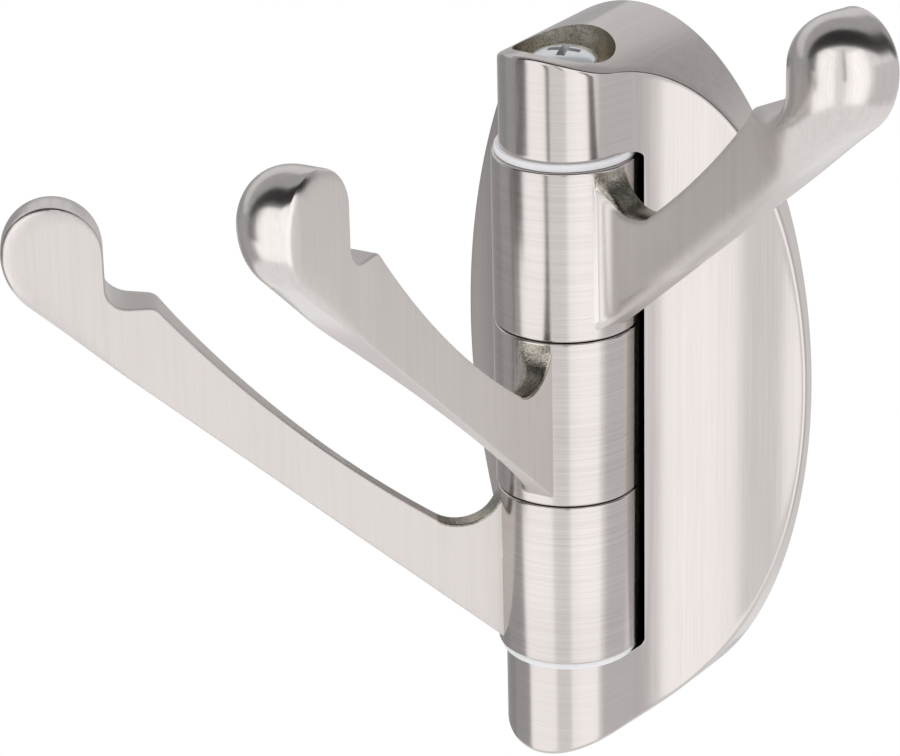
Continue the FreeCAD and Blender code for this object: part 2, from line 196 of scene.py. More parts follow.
def brushedNickel(name, part):
    look = nickel[part]
    finish = Finish(name)
    along, ringed = 1000 / nickel["lineLength"], 1000 / nickel["roundWidth"]
    level = (along, along, ringed)

    def lines(scale):
        fine = finish.noise(scale, detail=3.0, rough=0.65)
        broad = finish.noise([s * nickel["broadScale"] for s in scale], detail=2.0)
        return fine * nickel["fineShare"] + broad * (1 - nickel["fineShare"])

    if look["lines"] == "tall":
        across = 1000 / look["lineWidth"]
        grain = lines((across, across, along))
    else:
        grain = lines(level)
    if part == "plate":
        # the noses above and below the slot were turned, so their lines lie level
        split = finish.node("ShaderNodeSeparateXYZ", {}, {0: finish.place}, "Z")
        aside = Shade(split.tree, split.socket.node.outputs["X"])
        ear = (abs(split) > nickel["earLevel"]) * (abs(aside) < nickel["earHalf"])
        grain = grain * (1 - ear) + lines(level) * ear
    cloud = finish.noise((nickel["cloudScale"],) * 3, detail=2.0)
    tone = grain * (1 - nickel["cloudShare"]) + cloud * nickel["cloudShare"]
    rough = look["roughness"] + (grain - 0.5) * look["spread"]
    if part == "plate":
        # the left flank is duller towards its rim
        rough = rough + finish.node("ShaderNodeMapRange", {}, {
            0: aside, 1: nickel["dullStart"], 2: nickel["dullEnd"], 3: 0.0, 4: nickel["dullRoughness"]})
    if part == "blade":
        polish = finish.node("ShaderNodeAttribute", {"attribute_name": "polish"}, {}, "Fac")
        smooth = nickel["ballRoughness"] + (cloud - 0.5) * nickel["ballSpread"]
        rough = rough * (1 - polish) + smooth * polish
    tone = (tone - 0.5) * look["contrast"] + 0.5 + look["lift"]
    finish.feed(
        Base_Color=finish.tint(tone, nickel["dark"], nickel["light"]),
        Roughness=rough, Metallic=1.0, Anisotropic=look["anisotropy"],
        Normal=finish.bump(look["bump"], nickel["lineDepth"], grain))
    return finish.material


cast = {
    "dark": (0.05, 0.04, 0.03), "light": (0.72, 0.67, 0.58), "grainSize": 0.3, "patchScale": 300,
    "contrast": 2.4, "middle": 0.45, "roughness": 0.3, "spread": 0.3, "bump": 0.7, "grainDepth": 0.00008,
}


def castNickel(name, shade=1.0, lift=0.0, shine=0.0):
    finish = Finish(name)
    grain = finish.noise((1000 / cast["grainSize"],) * 3, detail=4.0, rough=0.65)
    patch = finish.noise((cast["patchScale"],) * 3, detail=3.0)
    tone = (grain * 0.5 + patch * 0.5 - 0.5) * cast["contrast"] + cast["middle"] + lift
    finish.feed(
        Base_Color=finish.tint(tone, cast["dark"], cast["light"], shade),
        Roughness=cast["roughness"] - shine + (grain - 0.5) * cast["spread"], Metallic=1.0,
        Normal=finish.bump(cast["bump"], cast["grainDepth"], grain))
    return finish.material


nylon = {
    "dark": (0.80, 0.79, 0.82), "light": (0.90, 0.895, 0.91), "cloudScale": 260, "grainScale": 5200,
    "roughness": 0.38, "spread": 0.15, "glow": 0.15, "glowDepth": 0.001,
    "bump": 0.15, "grainDepth": 0.00002,
}


def whiteNylon(name):
    finish = Finish(name)
    cloud = finish.noise((nylon["cloudScale"],) * 3, detail=3.0)
    grain = finish.noise((nylon["grainScale"],) * 3, detail=2.0)
    finish.feed(
        Base_Color=finish.tint(cloud, nylon["dark"], nylon["light"]),
        Roughness=nylon["roughness"] + (grain - 0.5) * nylon["spread"],
        Subsurface_Weight=nylon["glow"], Subsurface_Scale=nylon["glowDepth"],
        Normal=finish.bump(nylon["bump"], nylon["grainDepth"], grain))
    return finish.material


zinc = {
    "dark": (0.56, 0.59, 0.62), "light": (0.90, 0.92, 0.94),
    "cloudScale": 420, "ringScale": (240, 240, 2600), "roughness": 0.22, "spread": 0.2,
    "bump": 0.2, "ringDepth": 0.00002,
}


def zincSteel(name, shade=1.0, dull=0.0):
    finish = Finish(name)
    rings = finish.noise(zinc["ringScale"], detail=3.0)
    cloud = finish.noise((zinc["cloudScale"],) * 3, detail=3.0)
    finish.feed(
        Base_Color=finish.tint(rings * 0.5 + cloud * 0.5, zinc["dark"], zinc["light"], shade),
        Roughness=zinc["roughness"] + dull + (cloud - 0.5) * zinc["spread"], Metallic=1.0,
        Normal=finish.bump(zinc["bump"], zinc["ringDepth"], rings))
    return finish.material


plateNickel = brushedNickel("plate_nickel", "plate")
bladeNickel = brushedNickel("blade_nickel", "blade")
barrelNickel = brushedNickel("barrel_nickel", "barrel")
notchNickel = castNickel("notch_nickel", shade=0.85, lift=0.1, shine=0.14)
pocketNickel = castNickel("pocket_nickel", shade=1.05, lift=0.25)
# the slot's walls and floor are cast nickel darkened nearly to black: painted shade in the deep gap
slotShadeNickel = castNickel("slot_painted_shade_nickel", shade=0.12)
washerNylon = whiteNylon("washer_nylon")
screwZinc = zincSteel("screw_zinc")
# the cross recess is the head's zinc painted darker, as painted shade, and made rougher
recessShadeZinc = zincSteel("recess_painted_shade_zinc", shade=0.8, dull=0.4)
print("finishes made")


def ringTree():
    # barrels and washers: an eased section swept round the pivot
    tree = bpy.data.node_groups.new("turnedRing", "GeometryNodeTree")
    for label, kind in (("Radius", "Float"), ("Bore", "Float"), ("Height", "Float"), ("Edge", "Float"),
                        ("Segments", "Int"), ("Place", "Vector"), ("Finish", "Material")):
        tree.interface.new_socket(label, in_out="INPUT", socket_type="NodeSocket" + kind)
    tree.interface.new_socket("Ring", in_out="OUTPUT", socket_type="NodeSocketGeometry")
    nodes, links = tree.nodes, tree.links
    given, result = nodes.new("NodeGroupInput"), nodes.new("NodeGroupOutput")

    def maths(operation, first, second):
        node = nodes.new("ShaderNodeMath")
        node.operation = operation
        links.new(first, node.inputs[0])
        if isinstance(second, float):
            node.inputs[1].default_value = second
        else:
            links.new(second, node.inputs[1])
        return node.outputs[0]

    wall = maths("SUBTRACT", given.outputs["Radius"], given.outputs["Bore"])
    middle = maths("MULTIPLY", maths("ADD", given.outputs["Radius"], given.outputs["Bore"]), 0.5)
    section = nodes.new("GeometryNodeCurvePrimitiveQuadrilateral")
    links.new(wall, section.inputs["Width"])
    links.new(given.outputs["Height"], section.inputs["Height"])
    eased = nodes.new("GeometryNodeFilletCurve")
    eased.mode = "POLY"
    eased.inputs["Count"].default_value = 6  # points on each edge
    links.new(section.outputs[0], eased.inputs["Curve"])
    links.new(given.outputs["Edge"], eased.inputs["Radius"])
    path = nodes.new("GeometryNodeCurvePrimitiveCircle")
    links.new(given.outputs["Segments"], path.inputs["Resolution"])
    links.new(middle, path.inputs["Radius"])
    swept = nodes.new("GeometryNodeCurveToMesh")
    links.new(path.outputs[0], swept.inputs["Curve"])
    links.new(eased.outputs[0], swept.inputs["Profile Curve"])
    placed = nodes.new("GeometryNodeTransform")
    links.new(swept.outputs[0], placed.inputs["Geometry"])
    links.new(given.outputs["Place"], placed.inputs["Translation"])
    plain = nodes.new("GeometryNodeRealizeInstances")
    links.new(placed.outputs[0], plain.inputs[0])
    dressed = nodes.new("GeometryNodeSetMaterial")
    links.new(plain.outputs[0], dressed.inputs["Geometry"])
    links.new(given.outputs["Finish"], dressed.inputs["Material"])
    links.new(dressed.outputs[0], result.inputs[0])
    return tree


ringMaker = ringTree()


def ring(name, radius, bore, height, edge, level, finish, segments=160):
    obj = meshObject(name, [], [])
    step = obj.modifiers.new("ring", "NODES")
    step.node_group = ringMaker
    values = {"Radius": radius * mm, "Bore": bore * mm, "Height": height * mm, "Edge": edge * mm,
              "Place": (0, pivotY * mm, (level + height / 2) * mm),
              "Segments": segments, "Finish": finish}
    for item in ringMaker.interface.items_tree:
        if item.in_out == "INPUT":
            step[item.identifier] = values[item.name]
    graph = bpy.context.evaluated_depsgraph_get()
    made = bpy.data.meshes.new_from_object(obj.evaluated_get(graph))
    obj.modifiers.clear()
    obj.data = made
    closeMesh(obj)
    return obj


plate = {
    "width": 48.0, "height": 89.0, "rim": 1.5, "noseRadius": 7.65, "flankRadius": 21.0, "crestEase": 0.5,
    "slotHalf": 8.95, "slotEnd": 32.2, "slotFloor": -6.2, "slotCorner": 1.2, "slotEase": 0.2,
    "pocketRadius": 5.9, "pocketFloor": 40.4, "pocketEase": (0.4, 0.12), "pocketTop": 47.0,
    "pivotRadius": 2.08, "pivotEnd": -42.2,
    "holeRadius": 2.25, "holeHead": 4.4, "holeLevels": (18.0, -18.0),
    # how finely the mesh is divided
    "rows": 28, "wallRows": 8, "noseSteps": 64, "sideSteps": 110, "earSteps": 3, "cornerSteps": 9,
    "slotTurns": (0.33, 0.67), "crestTurns": (0.2, 0.4, 0.6, 0.8),
    "pocketSegments": 128, "holeSegments": 72,
}


def plateFront():
    half, nose, flank = plate["width"] / 2, plate["noseRadius"], plate["flankRadius"]
    rimY = -plate["rim"]
    # flank circle touches the nose from outside and ends on the rim
    dx, dy = half, rimY - pivotY
    span = math.hypot(dx, dy)
    along = ((nose + flank) ** 2 - flank**2 + span**2) / (2 * span)
    aside = math.sqrt((nose + flank) ** 2 - along**2)
    flankX = along * dx / span + aside * dy / span
    flankY = pivotY + along * dy / span - aside * dx / span
    touch = nose * flankX / (nose + flank)

    def depth(x):
        x = abs(x)
        if x <= touch:
            return pivotY - math.sqrt(nose**2 - x * x)
        return flankY + math.sqrt(max(flank**2 - (x - flankX) ** 2, 0))

    return depth, touch


def buildPlate():
    depth, touch = plateFront()
    halfW, halfH = plate["width"] / 2, plate["height"] / 2
    slotX, slotZ, slotFloor = plate["slotHalf"], plate["slotEnd"], plate["slotFloor"]
    turnMax = math.acos(slotX / halfW)
    noseTurn = math.asin(touch / plate["noseRadius"])
    steps, earSteps, cornerSteps = plate["noseSteps"], plate["earSteps"], plate["cornerSteps"]
    columns = [plate["noseRadius"] * math.sin(noseTurn * (2 * k / steps - 1)) for k in range(steps + 1)]
    corner = plate["slotCorner"]
    bend = slotX - corner
    outer = [touch + (bend - touch) * k / earSteps for k in range(1, earSteps)]
    outer += [bend + corner * math.sin(math.pi / 2 * k / cornerSteps) for k in range(cornerSteps + 1)]
    columns = [-x for x in reversed(outer)] + columns + outer

    def slotTop(x):
        return slotZ - corner + math.sqrt(max(corner**2 - max(abs(x) - bend, 0) ** 2, 0))

    def slotNormal(x):
        aside = max(abs(x) - bend, 0) / corner
        return math.copysign(aside, x), math.sqrt(max(1 - aside**2, 0))

    # slot edge, crest and way out of the slot, once round the plate
    pairs = []
    for x in columns[:-1]:
        crestZ = halfH * math.sqrt(1 - (x / halfW) ** 2)
        pairs.append(((x, slotTop(x)), (x, crestZ), slotNormal(x), abs(x) < bend))
    sides = plate["sideSteps"]
    for k in range(sides):
        turn = turnMax * (1 - 2 * k / sides)
        pairs.append(((slotX, (slotZ - corner) * turn / turnMax),
                      (halfW * math.cos(turn), halfH * math.sin(turn)), (1, 0), False))
    pairs += [((-a, -b), (-c, -d), (-e, -f), ear) for (a, b), (c, d), (e, f), ear in pairs]

    def front(x, z):
        return Vector((x, depth(x), z))

    def slant(x, z, dx, dz, probe):
        # way along the front for each millimetre in front view
        return max((front(x + dx * probe, z + dz * probe) - front(x, z)).length / probe, 1)

    def bent(a, b, c, turns):
        return [a.lerp(b, t).lerp(b.lerp(c, t), t) for t in turns]

    loops = []
    crest, slotEase = plate["crestEase"], plate["slotEase"]
    rows, wallRows = plate["rows"], plate["wallRows"]
    for (sx, sz), (ex, ez), (nx, nz), ear in pairs:
        start, end = front(sx, sz), front(ex, ez)
        step = Vector((ex - sx, ez - sz)).normalized()
        inset = crest / slant(ex, ez, -step.x, -step.y, probe=0.2)
        outset = slotEase / slant(sx, sz, nx, nz, probe=0.1)
        fx, fz = sx + nx * outset, sz + nz * outset
        lx, lz = ex - step.x * inset, ez - step.y * inset
        if ear:
            inward = Vector((-sx, pivotY - start.y, 0)).normalized()
        else:
            inward = Vector((0, 1, 0))
        slotSide, wallSide = start + inward * slotEase, end + Vector((0, crest, 0))
        first, last = front(fx, fz), front(lx, lz)
        line = [Vector((slotSide.x, slotFloor, sz)), slotSide]
        line += bent(slotSide, start, first, plate["slotTurns"])
        line += [front(fx + (lx - fx) * k / rows, fz + (lz - fz) * k / rows) for k in range(rows + 1)]
        line += bent(last, end, wallSide, plate["crestTurns"])
        line += [Vector((ex, wallSide.y * (1 - k / wallRows), ez)) for k in range(wallRows + 1)]
        loops.append(line)

    count, depthCount = len(loops), len(loops[0])
    verts = [p for line in loops for p in line]
    faces = []
    for i in range(count):
        here, there = i * depthCount, (i + 1) % count * depthCount
        for k in range(depthCount - 1):
            faces.append((here + k, there + k, there + k + 1, here + k + 1))
    faces.append([i * depthCount for i in range(count)])
    faces.append([i * depthCount + depthCount - 1 for i in range(count)])
    obj = meshObject("plate_body", verts, faces)
    closeMesh(obj)

    pocket, floor, top = plate["pocketRadius"], plate["pocketFloor"], plate["pocketTop"]
    bore, boreEnd = plate["pivotRadius"], plate["pivotEnd"]
    ease, bevel = plate["pocketEase"]
    profile = [(0, boreEnd), (bore, boreEnd), (bore, floor), (pocket - ease, floor),
               (pocket - bevel, floor + bevel), (pocket, floor + ease), (pocket, top), (0, top)]
    upright = Matrix.Translation((0, pivotY, 0))
    combine(obj, turned("pocketCutter", profile, plate["pocketSegments"], upright), "DIFFERENCE")
    hole, head = plate["holeRadius"], plate["holeHead"]
    behind, before = -1, -slotFloor + 0.5  # the cutter stands out on both sides
    for level in plate["holeLevels"]:
        facing = Matrix.Translation((0, 0, level)) @ Matrix.Rotation(math.radians(90), 4, "X")
        profile = [(0, behind), (hole, behind), (hole, -slotFloor - (head - hole)), (head, -slotFloor),
                   (head, before), (0, before)]
        combine(obj, turned("holeCutter", profile, plate["holeSegments"], facing), "DIFFERENCE")
    closeMesh(obj)
    smoothFaces(obj)
    slack, floorSlack = 0.02, 0.05

    def choose(centre, normal):
        fromAxis = math.hypot(centre.x, centre.y - pivotY)
        aside = abs(centre.x)
        overFloor = centre.z > floor - floorSlack and normal.z > -0.5
        if fromAxis < pocket + slack and overFloor and aside < pocket:
            outward = normal.x * centre.x + normal.y * (centre.y - pivotY)
            return 1 if fromAxis < pocket - slack or outward < 0 else 0
        # faces in the slot take the painted shade, except those that face the wall
        if aside < slotX + slack and abs(centre.z) < slotTop(min(aside, slotX)) + slack:
            hidden = centre.y > slotFloor - floorSlack and normal.y > 0.5
            return 0 if hidden else 2
        return 0

    tagFaces(obj, (plateNickel, pocketNickel, slotShadeNickel), choose)
    return obj


plateBody = buildPlate()
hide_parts("wall_plate")
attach(plateBody, "wall_bracket")
print("plate made:", len(plateBody.data.polygons), "faces")


arm = {
    "barrelRadius": 8.6, "barrelHeight": 20.8, "bore": 2.08, "barrelEdge": 0.3,
    "rootThickness": 4.4, "tipThickness": 6.2, "angle": 40.5, "foot": 7.0,
    "crown": 150.0, "notch": 5.2, "notchX": 13.2, "notchZ": 21.7, "knob": 5.85, "heel": 8.6,
    "seatDrop": 7.0, "saddle": 2.6, "seatLength": 4.9, "lip": 1.6, "hollow": 125.0,
    "head": 13.3, "shoulder": 2.5, "rootFillet": 3.5, "filletSink": 0.2, "neck": 11.5, "ballPower": 2.3,
    # edge easing as (width on the face, depth on the rim)
    "crispEdge": (0.3, 0.3), "softEdge": (0.9, 0.8), "underEdge": (2.0, 1.4), "tipEdge": (2.9, 1.1),
    # where easings change: parts of the outline, then millimetres from pivot, tip and knob
    "tipTurn": (7.05, 7.65), "tipJoin": (7.6, 8), "underRun": (9, 18), "underTip": (15, 4),
    "seatRise": (8.5, 3), "seatShare": 0.3,
    # polish starts and ends in millimetres from the tip, and fades from the barrel
    "ballPolish": (16, 8), "facePolish": (0.7, 0.1), "rootPolish": 6, "rootSide": 2,
    # the barrel stays as cast just over the blade's root
    "castStart": 5, "castHalf": 3.5, "castLow": 18, "castHigh": 20.4,
    # how finely the mesh is divided
    "points": {"root": 16, "notch": 40, "crown": 44, "lip": 8, "seat": 3, "saddle": 14, "inner": 6,
               "knob": 48, "tail": 6},
    "faceColumns": 14, "leftColumns": 34, "rimColumns": 3, "edgeSteps": 8, "creaseAngle": 16,
}
armPlaces = {
    "upper": {"reach": 53.0, "swing": 71.5, "level": 10.55},
    "middle": {"reach": 65.3, "swing": 6.0, "level": -10.4},
    "lower": {"reach": 65.3, "swing": -50.0, "level": -31.35},
}


def arcRun(x, z, radius, start, end, count, outward=1):
    # points with their normals, as (x, z, normal x, normal z)
    run = []
    for k in range(count + 1):
        turn = math.radians(start + (end - start) * k / count)
        c, s = math.cos(turn), math.sin(turn)
        run.append((x + radius * c, z + radius * s, c * outward, s * outward))
    return run


def lineRun(a, b, normal, count):
    return [(a[0] + (b[0] - a[0]) * k / count, a[1] + (b[1] - a[1]) * k / count, *normal)
            for k in range(count + 1)]


def ballCentre(reach):
    angle = math.radians(arm["angle"])
    rise = (reach - arm["foot"]) * math.tan(angle) + arm["heel"] * math.tan((math.pi / 2 - angle) / 2)
    return reach - arm["knob"], rise


def armOutline(reach):
    angle = math.radians(arm["angle"])
    slope = math.tan(angle)
    heel, knob, foot, points = arm["heel"], arm["knob"], arm["foot"], arm["points"]
    centreZ = ballCentre(reach)[1]
    inner, seat = reach - 2 * knob, centreZ - arm["seatDrop"]
    lipX, lipZ, lip = inner - arm["seatLength"], seat - arm["lip"], arm["lip"]
    notchX, notchZ, notch, crown = arm["notchX"], arm["notchZ"], arm["notch"], arm["crown"]
    bottom, saddle = 0.05, arm["saddle"]
    top = arm["barrelHeight"] - bottom  # the blade's root stays just inside the barrel's ends

    # crown arc touches the lip from outside and the notch from inside
    gap = math.hypot(lipX - notchX, lipZ - notchZ)
    along = ((crown - notch) ** 2 - (crown + lip) ** 2 + gap**2) / (2 * gap)
    aside = math.sqrt((crown - notch) ** 2 - along**2)
    ux, uz = (lipX - notchX) / gap, (lipZ - notchZ) / gap
    crownX, crownZ = notchX + along * ux - aside * uz, notchZ + along * uz + aside * ux
    notchTurn = math.degrees(math.atan2(notchZ - crownZ, notchX - crownX))
    lipTurn = math.degrees(math.atan2(lipZ - crownZ, lipX - crownX))
    notchTop = notchX - math.sqrt(notch**2 - (top - notchZ) ** 2)
    notchStart = math.degrees(math.atan2(top - notchZ, notchTop - notchX)) % 360

    rootNormal = -math.cos(math.radians(notchStart)), -math.sin(math.radians(notchStart))
    rootHigh, rootLow = (4.6, top - 0.5), (4, bottom)  # hidden in the barrel
    upper = [
        lineRun(rootHigh, (notchTop, top), rootNormal, points["root"]),
        arcRun(notchX, notchZ, notch, notchStart, notchTurn + 360, points["notch"], -1),
        arcRun(crownX, crownZ, crown, notchTurn, lipTurn, points["crown"], -1),
        arcRun(lipX, lipZ, lip, lipTurn + 180, 90, points["lip"]),
        lineRun((lipX, seat), (inner - saddle, seat), (0, 1), points["seat"]),
        arcRun(inner - saddle, seat + saddle, saddle, 270, 360, points["saddle"], -1),
        lineRun((inner, seat + saddle), (inner, centreZ), (-1, 0), points["inner"]),
        arcRun(reach - knob, centreZ, knob, 180, 0, points["knob"]),
    ]
    middle = upper[1:7]  # all but the root and the knob
    under = math.sin(angle), -math.cos(angle)
    heelX = reach - heel
    heelStart = heelX + heel * under[0]

    def opposite(run):
        # foot of the perpendicular on the under line, short of the heel
        x, z = run[-1][0], run[-1][1]
        return min(x + (z - (x - foot) * slope) * math.sin(angle) * math.cos(angle), heelStart - 1.5)

    def onUnder(x):
        return x, (x - foot) * slope

    marks = [foot] + [opposite(run) for run in middle]
    lower = [lineRun(rootLow, (foot, 0), under, points["root"])]
    for run, a, b in zip(middle, marks[:-1], marks[1:]):
        lower.append(lineRun(onUnder(a), onUnder(b), under, len(run) - 1))
    tail = lineRun(onUnder(marks[-1]), onUnder(heelStart), under, points["tail"])
    heelRun = arcRun(heelX, centreZ, heel, arm["angle"] - 90, 0, points["knob"] - points["tail"])
    lower.append(tail + heelRun[1:])
    pairs = []
    for part, (high, low) in enumerate(zip(upper, lower)):
        last = len(high) - 1
        for k in range(1 if pairs else 0, last + 1):
            pairs.append((high[k], low[k], part + k / last))
    return pairs


def ramp(value, start, end):
    t = min(max((value - start) / (end - start), 0), 1)
    return t * t * (3 - 2 * t)


def between(a, b, t):
    return tuple(p + (q - p) * t for p, q in zip(a, b))


def rightEasing(low, along, reach):
    # right edges are crisp and open up at the tip
    crisp, tip = arm["crispEdge"], arm["tipEdge"]
    tipStart, tipEnd = arm["underTip"]
    top = between(crisp, tip, ramp(along, *arm["tipTurn"]))
    bottom = between(crisp, tip, ramp(low[0], reach - tipStart, reach - tipEnd))
    return top, between(bottom, top, ramp(along, *arm["tipJoin"]))


def distanceTo(points):
    # shortest way from a place on the profile to a run of outline points
    line = numpy.array([point[:2] for point in points])
    start, step = line[:-1], numpy.diff(line, axis=0)
    length = (step**2).sum(axis=1)

    def away(x, z):
        offset = numpy.array((x, z)) - start
        t = numpy.clip((offset * step).sum(axis=1) / length, 0, 1)
        return float(numpy.hypot(*(offset - step * t[:, None]).T).min())

    return away


def leftSurface(reach, pairs, left):
    # the left side has eased edges and swells into a ball at the tip
    knobX, knobZ = ballCentre(reach)
    knob, tip, power = arm["knob"], arm["tipThickness"] / 2, arm["ballPower"]
    soft, share = arm["softEdge"], arm["seatShare"]
    seatLow, seatHigh = (knobZ - way for way in arm["seatRise"])
    toTop, toUnder = distanceTo([p[0] for p in pairs]), distanceTo([p[1] for p in pairs])

    def drop(away, easing, swell):
        wide, deep = between(easing, (knob, knob), swell)
        return deep * (1 - (1 - (1 - min(away / wide, 1)) ** power) ** (1 / power))

    def surface(x, z):
        swell = 1 - ramp(math.hypot(x - knobX, z - knobZ), knob, knob + arm["neck"])
        under = between(soft, arm["underEdge"], ramp(x, *arm["underRun"]))
        # the seat's edge stays crisper than the ball above it
        topSwell = swell * (share + (1 - share) * ramp(z, seatLow, seatHigh))
        edge = max(drop(toTop(x, z), soft, topSwell), drop(toUnder(x, z), under, swell))
        return left(x) - (knob - tip) * swell + edge

    return surface, lambda x, z: min(toTop(x, z), toUnder(x, z))


def bladeFaces(reach):
    root, tip, shoulderX = arm["rootThickness"] / 2, arm["tipThickness"] / 2, reach - arm["head"]
    chord = math.hypot(shoulderX, tip - root)
    ux, uy = shoulderX / chord, (root - tip) / chord
    rise = math.sqrt(arm["hollow"] ** 2 - chord**2 / 4)
    cx, cy = shoulderX / 2 + uy * rise, -(root + tip) / 2 - ux * rise
    ease = arm["shoulder"]
    # fillet circle touches the barrel from outside and the hollow from inside
    fillet, barrel = arm["rootFillet"], arm["barrelRadius"] - arm["filletSink"]
    far = math.hypot(cx, cy)
    along = ((barrel + fillet) ** 2 - (arm["hollow"] - fillet) ** 2 + far**2) / (2 * far)
    aside = math.sqrt((barrel + fillet) ** 2 - along**2)
    filletX, filletY = (along * cx - aside * cy) / far, (along * cy + aside * cx) / far
    filletStart = filletX * barrel / (barrel + fillet)
    filletEnd = cx + (filletX - cx) * arm["hollow"] / (arm["hollow"] - fillet)

    def right(r):
        return root + (tip - root) * r / reach

    def hollow(r):
        if r >= filletEnd:
            return cy + math.sqrt(arm["hollow"] ** 2 - (r - cx) ** 2)
        return filletY + math.sqrt(fillet**2 - (max(r, filletStart) - filletX) ** 2)

    def left(r):
        if r < shoulderX - ease:
            return hollow(r)
        if r > shoulderX + ease:
            return -tip
        t = (r - shoulderX + ease) / (2 * ease)
        return (1 - t) ** 2 * hollow(shoulderX - ease) - (1 - (1 - t) ** 2) * tip

    return right, left, (filletX, filletY)


def shareNormals(obj, place, fillet, toEdge):
    # barrel and left fillet share their normals where they meet, so no seam shows
    mesh, back, turn = obj.data, place.inverted(), place.to_3x3()
    barrel, root = arm["barrelRadius"], arm["rootThickness"] / 2
    seamStart, seamWidth, seamLow, seamHigh = 5, 1.2, 1, 19.5
    slack, edgeGap, alike = 0.05, 0.9, 0.75
    normals = [Vector((0, 0, 0))] * len(mesh.loops)
    for face in mesh.polygons:
        for k in face.loop_indices:
            x, y, z = back @ (mesh.vertices[mesh.loops[k].vertex_index].co / mm)
            beyond = math.hypot(x, y) - barrel
            onSeam = seamStart < x < fillet[0] and y < -root and -slack < beyond < seamWidth
            if not (onSeam and seamLow < z < seamHigh):
                continue
            radial, hollow = Vector((x, y, 0)), Vector((fillet[0] - x, fillet[1] - y, 0))
            mixed = radial.normalized().lerp(hollow.normalized(), ramp(beyond, 0, seamWidth))
            shared = turn @ mixed.normalized()
            if shared.dot(face.normal) > alike and toEdge(x, z) > edgeGap:
                normals[k] = shared
    mesh.normals_split_custom_set(normals)


def buildArm(name, reach, swing, level):
    right, left, fillet = bladeFaces(reach)
    pairs = armOutline(reach)
    surface, toEdge = leftSurface(reach, pairs, left)
    columns, leftColumns, rimColumns = arm["faceColumns"], arm["leftColumns"], arm["rimColumns"]
    place = Matrix.Translation((0, pivotY, level)) @ Matrix.Rotation(math.radians(swing - 90), 4, "Z")
    turns = [math.pi / 2 * k / arm["edgeSteps"] for k in range(arm["edgeSteps"] + 1)]

    def corner(point, easing):
        # quarter round from the right face out to the rim
        x, z, nx, nz = point
        wide, deep = easing
        px, pz = x - nx * wide, z - nz * wide
        base = right(px) - deep
        return [(px + nx * wide * math.sin(t), base + deep * math.cos(t), pz + nz * wide * math.sin(t))
                for t in turns]

    def across(a, b, face, count):
        run = []
        for k in range(1, count):
            x, z = a[0] + (b[0] - a[0]) * k / count, a[2] + (b[2] - a[2]) * k / count
            run.append((x, face(x) if face else a[1] + (b[1] - a[1]) * k / count, z))
        return run

    verts, loopCount = [], 0
    for high, low, along in pairs:
        topEasing, lowEasing = rightEasing(low, along, reach)
        topRight, lowRight = corner(high, topEasing), corner(low, lowEasing)
        leftRun = []
        for k in range(leftColumns + 1):
            t = (1 - math.cos(math.pi * k / leftColumns)) / 2
            x, z = high[0] + (low[0] - high[0]) * t, high[1] + (low[1] - high[1]) * t
            leftRun.append((x, surface(x, z), z))
        loop = across(lowRight[0], topRight[0], right, columns) + topRight
        loop += across(topRight[-1], leftRun[0], None, rimColumns) + leftRun
        loop += across(leftRun[-1], lowRight[-1], None, rimColumns) + lowRight[::-1]
        loopCount = len(loop)
        verts += [place @ Vector(p) for p in loop]
    faces = bandFaces(len(pairs), loopCount)
    faces.append(list(range(loopCount)))
    obj = meshObject(name, verts, faces)
    closeMesh(obj)
    radius = arm["barrelRadius"]
    barrel = ring(name + "_barrel", radius, arm["bore"], arm["barrelHeight"], arm["barrelEdge"], level,
                  barrelNickel)
    combine(obj, barrel, "UNION")
    closeMesh(obj)
    smoothFaces(obj, arm["creaseAngle"])
    back = place.inverted()
    slack, wallSlack, notchSlack, notchEnd = 0.03, 0.1, 0.3, 16

    def choose(centre, normal):
        fromAxis = math.hypot(centre.x, centre.y - pivotY)
        x, y, z = back @ centre
        if fromAxis < radius + slack:
            overRoot = x > arm["castStart"] and abs(y) < arm["castHalf"]
            raw = overRoot and arm["castLow"] < z < arm["castHigh"]
            return 2 if raw and fromAxis > radius - wallSlack else 1
        fromNotch = abs(math.hypot(x - arm["notchX"], z - arm["notchZ"]) - arm["notch"])
        return 2 if fromNotch < notchSlack and x < notchEnd else 0

    tagFaces(obj, (bladeNickel, barrelNickel, notchNickel), choose)
    polish = obj.data.attributes.new("polish", "FLOAT", "POINT")
    ballStart, ballEnd = (reach - way for way in arm["ballPolish"])
    for point, vertex in zip(polish.data, obj.data.vertices):
        x, y, z = back @ (vertex.co / mm)
        faceStart, faceEnd = (right(x) - way for way in arm["facePolish"])
        ball = ramp(x, ballStart, ballEnd) * (1 - ramp(y, faceStart, faceEnd))
        atRoot = 1 - ramp(math.hypot(x, y) - radius, 0, arm["rootPolish"])
        point.value = max(ball, atRoot * ramp(-y, 0, arm["rootSide"]))
    shareNormals(obj, place, fillet, toEdge)
    return obj


for key, at in armPlaces.items():
    made = buildArm("arm_" + key, at["reach"], at["swing"], at["level"])
    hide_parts("hook_arm_" + key)
    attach(made, key + "_hook")
    print("arm made:", key, len(made.data.polygons), "faces")


washer = {
    "radius": 8.2, "bore": 2.08, "thickness": 0.82, "edge": 0.12, "creaseAngle": 40,
    "levels": {"upper": 31.38, "lower": -32.2},
}
for key, level in washer["levels"].items():
    made = ring("nylon_washer_" + key, washer["radius"], washer["bore"], washer["thickness"],
                washer["edge"], level, washerNylon)
    smoothFaces(made, washer["creaseAngle"])
    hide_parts("washer_" + key)
    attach(made, "wall_bracket")
print("washers made")


screw = {
    "headRadius": 4.0, "headHeight": 3.0, "crown": 1.3, "seat": 40.4, "headEdge": 0.2,
    "shankRadius": 2.0, "end": -39.6, "endChamfer": 0.5, "segments": 96, "crownSteps": 14,
    "recessLength": 4.4, "recessWidth": 1.0, "recessDepth": 1.1, "recessTurns": (20, 110),
    "recessFloorShare": 0.62, "recessTopShare": 1.05,
}


